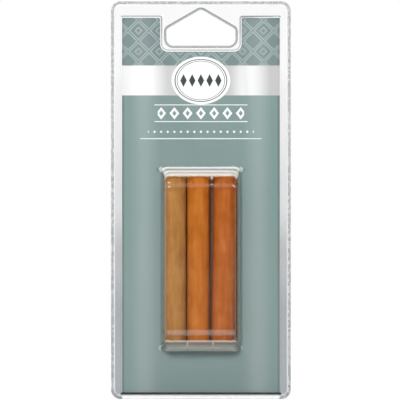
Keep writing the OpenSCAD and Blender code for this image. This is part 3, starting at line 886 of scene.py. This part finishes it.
def ring(depth):
    """The bubble's outline at a depth: half width, half height, upper and lower corner radius, and ears."""
    reach = depth / high
    return (
        BUBBLE_HALF_W - wall_inset(depth, high, SIDE_DRAFT, SIDE_FILLET, BASE_FILLET),
        half_h - wall_inset(depth, high, END_DRAFT, END_FILLET, BASE_FILLET),
        CORNER_R_TOP + (CORNER_R_FRONT - CORNER_R_TOP) * reach,
        CORNER_R_FOOT + (CORNER_R_FRONT - CORNER_R_FOOT) * reach,
        EAR_W * max(0.0, 1 - depth / EAR_DEPTH) ** 2,
    )


def move_ring(old, new):
    """Moves the selected outline from one ring's size to another's, turning each corner about its own centre.

    The ears are the creases that the sheet drew beside the bubble's base corners."""
    _, old_half_h, old_top_r, old_foot_r, _ = old
    new_half_w, new_half_h, new_top_r, new_foot_r, ear = new
    shape = bmesh.from_edit_mesh(shell.data)
    for v in shape.verts:
        if v.select:
            side, end = (1 if v.co.x > 0 else -1), (1 if v.co.y > middle else -1)
            old_r, new_r = (old_top_r, new_top_r) if end > 0 else (old_foot_r, new_foot_r)
            turn_y = (v.co.y - middle - end * (old_half_h - old_r)) / old_r * end
            turn_x = max(0.0, 1 - turn_y**2) ** 0.5
            v.co.x = side * (new_half_w - new_r + turn_x * new_r)
            v.co.y = middle + end * (new_half_h - new_r + turn_y * new_r)
            v.co.x += side * ear * EAR_PEAK * turn_x**3 * turn_y
    bmesh.update_edit_mesh(shell.data)


def is_bubble_rim(edge):
    """True for an open edge in the pocket's front, round the bubble."""
    return edge.is_boundary and all(
        is_near(v.co.z, POCKET_H)
        and abs(v.co.x) < BUBBLE_HALF_W + FLAT_W + 1 * MM
        and abs(v.co.y - middle) < half_h + FLAT_W + 1 * MM
        for v in edge.verts
    )


pick("EDGE", lambda e: not e.link_faces and lies_at(POCKET_H)(e))
flat_ring = (BUBBLE_HALF_W + FLAT_W, half_h + FLAT_W, CORNER_R_TOP + FLAT_EXTRA_R, CORNER_R_FOOT + FLAT_EXTRA_R, 0)
move_ring((BUBBLE_HALF_W, half_h, CORNER_R_TOP, CORNER_R_FOOT, 0), flat_ring)
pick("EDGE", lambda e: len(e.link_faces) < 2 and lies_at(POCKET_H)(e))
bpy.ops.mesh.fill(use_beauty=True)
pick("EDGE", is_bubble_rim)
bpy.ops.mesh.extrude_edges_move(TRANSFORM_OT_translate={"value": (0, 0, 0)})
move_ring(flat_ring, ring(0))
side_turn, end_turn = RIGHT_ANGLE - SIDE_DRAFT, RIGHT_ANGLE - END_DRAFT
depths = sorted(
    {BASE_FILLET * (1 - cos(side_turn * k / BASE_STEPS)) for k in range(1, BASE_STEPS + 1)}
    | {high - END_FILLET * (1 - cos(end_turn * k / END_STEPS)) for k in range(END_STEPS + 1)}
    | {high - SIDE_FILLET * (1 - cos(side_turn * k / SIDE_STEPS)) for k in range(1, SIDE_STEPS)}
)
reached = 0
for depth in depths:
    bpy.ops.mesh.extrude_edges_move(TRANSFORM_OT_translate={"value": (0, 0, depth - reached)})
    move_ring(ring(reached), ring(depth))
    reached = depth
bpy.ops.mesh.edge_face_add()
bpy.ops.mesh.inset(thickness=FRONT_INSET)

# One skin, merged and facing forwards, then given its thickness behind. Its cut edges border on the seal alone, and
# an offset of 1 takes them from the seal's material to the next, the whitened one
bpy.ops.mesh.select_all(action="SELECT")
bpy.ops.mesh.remove_doubles(threshold=MERGE_GAP)
bpy.ops.mesh.normals_make_consistent(inside=False)
if sum(f.normal.z * f.calc_area() for f in bmesh.from_edit_mesh(shell.data).faces) < 0:
    bpy.ops.mesh.flip_normals()
bpy.ops.object.mode_set(mode="OBJECT")
bpy.ops.object.modifier_add(type="SOLIDIFY")
wall = shell.modifiers[-1]
wall.thickness, wall.offset, wall.use_even_offset, wall.use_quality_normals = SHEET_T, -1, True, True
wall.material_offset_rim = 1
bpy.ops.object.modifier_apply(modifier=wall.name)


def is_corner(edge):
    """True for a sharp edge of the sheet."""
    return len(edge.link_faces) == 2 and edge.calc_face_angle(0) > SHARP_ANGLE


# Softened steps: the pocket's front edge most, then every other sharp edge
bpy.ops.object.mode_set(mode="EDIT")
for height, edge_r in ((POCKET_H, POCKET_EDGE_R), (LAND_H, LAND_EDGE_R)):
    pick("EDGE", lambda e: is_corner(e) and lies_at(height)(e))
    bpy.ops.mesh.bevel(offset=edge_r, segments=3, affect="EDGES", clamp_overlap=False)
    paint(step_pet)
pick("EDGE", is_corner)
bpy.ops.mesh.bevel(offset=EDGE_R, segments=2, affect="EDGES", clamp_overlap=False)
formed_slot, sealed_slot = (shell.data.materials.find(finish.name) for finish in (formed_pet, sealed_pet))
pick("FACE", lambda f: f.material_index == formed_slot and abs(f.normal.z) < 0.1)
paint(step_pet)

# Where two softened edges meet beside an ear they leave slivers without width, which are merged away
bpy.ops.mesh.select_all(action="SELECT")
bpy.ops.mesh.remove_doubles(threshold=SLIVER_W)
bpy.ops.object.mode_set(mode="OBJECT")
shell.rotation_euler = (pi / 2, 0, 0)
bpy.ops.object.transform_apply(location=False, rotation=True, scale=False)
bpy.ops.object.shade_smooth_by_angle(angle=SHARP_ANGLE)
bpy.ops.object.mode_set(mode="EDIT")
pick("FACE", lambda f: f.material_index == sealed_slot)
bpy.ops.mesh.faces_shade_flat()
bpy.ops.object.mode_set(mode="OBJECT")
bpy.ops.object.modifier_add(type="WEIGHTED_NORMAL")
shell.modifiers[-1].keep_sharp = True
bpy.ops.object.modifier_apply(modifier=shell.modifiers[-1].name)
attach(shell, "pack")
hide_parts("front_shell")
